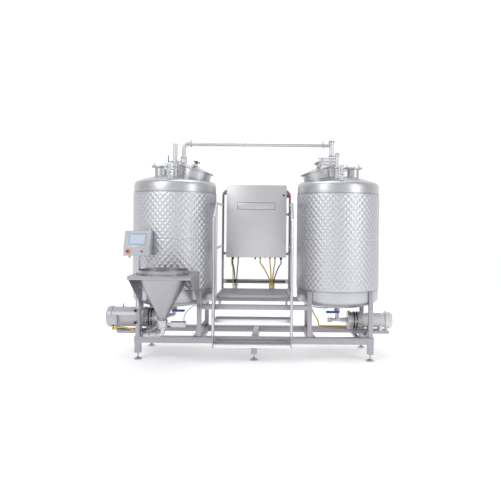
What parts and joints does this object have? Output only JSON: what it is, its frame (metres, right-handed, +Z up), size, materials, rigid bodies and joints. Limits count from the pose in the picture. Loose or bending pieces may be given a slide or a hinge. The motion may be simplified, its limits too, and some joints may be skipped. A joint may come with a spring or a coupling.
{
  "type": "two-tank brewing plant",
  "caption": "Skid-mounted electric brewing and blending plant: jacketed upright tanks, control cabinet, platform with steps, powder hopper, pumps and operator panel.",
  "frame": {"origin": "floor level under the middle of the plant's box", "axes": "+X to the operator's right along the tank row, +Y away from the operator, +Z up"},
  "size_m": [3.69, 1.708, 2.859],
  "materials": {
    "tank_steel": "fine matt-ground stainless steel",
    "jacket_steel": "pillow-plate stainless steel",
    "frame_steel": "bead-blasted stainless steel",
    "pipe_steel": "polished stainless steel",
    "cabinet_steel": "line-ground stainless steel sheet",
    "grating_steel": "serrated grating",
    "motor_steel": "stainless motor casing",
    "black_plastic": "moulded black plastic",
    "blue_plastic": "blue lever grip",
    "red_plastic": "red control",
    "cable_black": "black cable sheath",
    "cable_yellow": "yellow cable sheath"
  },
  "bodies": {
    "plant": {"blind_flange_left": "frame_steel", "blind_flange_right": "frame_steel", "cabinet_box": "cabinet_steel", "cabinet_frame": "frame_steel", "cable_loom_left": "cable_black", "cable_loom_right": "cable_yellow", "crossover_pipe": "pipe_steel", "dome_valve_left": "pipe_steel", "dome_valve_right": "pipe_steel", "handrail_left": "pipe_steel", "handrail_right": "pipe_steel", "hopper": "tank_steel", "hopper_table": "frame_steel", "hopper_valve_body": "pipe_steel", "levelling_foot_front_left": "frame_steel", "levelling_foot_front_middle": "frame_steel", "levelling_foot_front_right": "frame_steel", "levelling_foot_rear_left": "frame_steel", "levelling_foot_rear_middle": "frame_steel", "levelling_foot_rear_right": "frame_steel", "mixing_pipe": "pipe_steel", "platform_frame": "frame_steel", "platform_grating": "grating_steel", "pump_casing_left": "motor_steel", "pump_casing_right": "motor_steel", "pump_motor_left": "motor_steel", "pump_motor_right": "motor_steel", "riser_left": "pipe_steel", "riser_right": "pipe_steel", "skid_frame": "frame_steel", "stair_tread_lower": "grating_steel", "stair_tread_upper": "grating_steel", "suction_line_left": "pipe_steel", "suction_line_right": "pipe_steel", "tank_jacket_left": "jacket_steel", "tank_jacket_right": "jacket_steel", "tank_vessel_left": "tank_steel", "tank_vessel_right": "tank_steel", "vent_valve_left": "pipe_steel", "vent_valve_right": "pipe_steel"},
    "manway_left": {"manway_lid_left": "pipe_steel", "manway_yoke_left": "pipe_steel"},
    "manway_right": {"manway_lid_right": "pipe_steel", "manway_yoke_right": "pipe_steel"},
    "knob_left": {"manway_knob_left": "black_plastic"},
    "knob_right": {"manway_knob_right": "black_plastic"},
    "door": {"cabinet_door": "cabinet_steel"},
    "lock": {"door_lock": "black_plastic"},
    "switch": {"main_switch": "red_plastic"},
    "cabinet_stop": {"cabinet_stop_button": "red_plastic"},
    "mast": {"panel_mast": "pipe_steel"},
    "panel": {"panel_box": "cabinet_steel"},
    "panel_stop": {"panel_stop_button": "red_plastic"},
    "panel_button": {"panel_push_button": "red_plastic"},
    "hopper_disc": {"hopper_valve_disc": "pipe_steel"},
    "vent_lever": {"vent_lever_left": "blue_plastic"},
    "outlet_left": {"outlet_lever_left": "blue_plastic"},
    "outlet_right": {"outlet_lever_right": "blue_plastic"},
    "pump_rotor_left": {"pump_shaft_left": "pipe_steel"},
    "pump_rotor_right": {"pump_shaft_right": "pipe_steel"}
  },
  "joints": [
    {"name": "manway_left_swing", "type": "hinge", "parent": "plant", "child": "manway_left", "pos_m": [-0.75973, 0.616, 2.43384], "axis": [-0.9613, 0, 0.2756], "range_deg": [0, 80]},
    {"name": "manway_left_knob_turn", "type": "hinge", "parent": "manway_left", "child": "knob_left", "pos_m": [-0.73933, 0.316, 2.50497], "axis": [0.2756, 0, 0.9613], "continuous": true},
    {"name": "outlet_left_lever_turn", "type": "hinge", "parent": "plant", "child": "outlet_left", "pos_m": [-1.015, 0.316, 0.5597], "axis": [0, 1, 0], "range_deg": [0, 90]},
    {"name": "manway_right_swing", "type": "hinge", "parent": "plant", "child": "manway_right", "pos_m": [0.86973, 0.616, 2.43384], "axis": [-0.9613, 0, -0.2756], "range_deg": [0, 80]},
    {"name": "manway_right_knob_turn", "type": "hinge", "parent": "manway_right", "child": "knob_right", "pos_m": [0.84933, 0.316, 2.50497], "axis": [-0.2756, 0, 0.9613], "continuous": true},
    {"name": "outlet_right_lever_turn", "type": "hinge", "parent": "plant", "child": "outlet_right", "pos_m": [1.125, 0.316, 0.5597], "axis": [0, 1, 0], "range_deg": [-90, 0]},
    {"name": "vent_lever_turn", "type": "hinge", "parent": "plant", "child": "vent_lever", "pos_m": [-1.05, 0.006, 2.4753], "axis": [1, 0, 0], "range_deg": [0, 90]},
    {"name": "door_swing", "type": "hinge", "parent": "plant", "child": "door", "pos_m": [-0.349, 0.436, 1.7335], "axis": [0, 0, 1], "range_deg": [-90, 0]},
    {"name": "lock_turn", "type": "hinge", "parent": "door", "child": "lock", "pos_m": [0.414, 0.416, 2.083], "axis": [0, 1, 0], "range_deg": [0, 90]},
    {"name": "main_switch_turn", "type": "hinge", "parent": "plant", "child": "switch", "pos_m": [0.451, 0.516, 2.078], "axis": [1, 0, 0], "range_deg": [0, 90]},
    {"name": "cabinet_stop_press", "type": "slide", "parent": "plant", "child": "cabinet_stop", "axis": [-1, 0, 0], "range_m": [0, 0.006], "stiffness_N_per_m": 400},
    {"name": "mast_height", "type": "slide", "parent": "plant", "child": "mast", "axis": [0, 0, 1], "range_m": [-0.1, 0.12]},
    {"name": "panel_swivel", "type": "hinge", "parent": "mast", "child": "panel", "pos_m": [-1.356, -0.229, 1.305], "axis": [0, 0, 1], "range_deg": [-55, 0]},
    {"name": "panel_stop_press", "type": "slide", "parent": "panel", "child": "panel_stop", "axis": [0, 1, 0], "range_m": [0, 0.006], "stiffness_N_per_m": 400},
    {"name": "panel_button_press", "type": "slide", "parent": "panel", "child": "panel_button", "axis": [0, 1, 0], "range_m": [0, 0.004], "stiffness_N_per_m": 300},
    {"name": "hopper_disc_turn", "type": "hinge", "parent": "plant", "child": "hopper_disc", "pos_m": [-0.989, -0.546, 0.5267], "axis": [1, 0, 0], "range_deg": [0, 90]},
    {"name": "pump_left_spin", "type": "hinge", "parent": "plant", "child": "pump_rotor_left", "pos_m": [-1.22, 0.166, 0.49], "axis": [1, 0, 0], "continuous": true},
    {"name": "pump_right_spin", "type": "hinge", "parent": "plant", "child": "pump_rotor_right", "pos_m": [1.301, 0.316, 0.446], "axis": [1, 0, 0], "continuous": true}
  ]
}
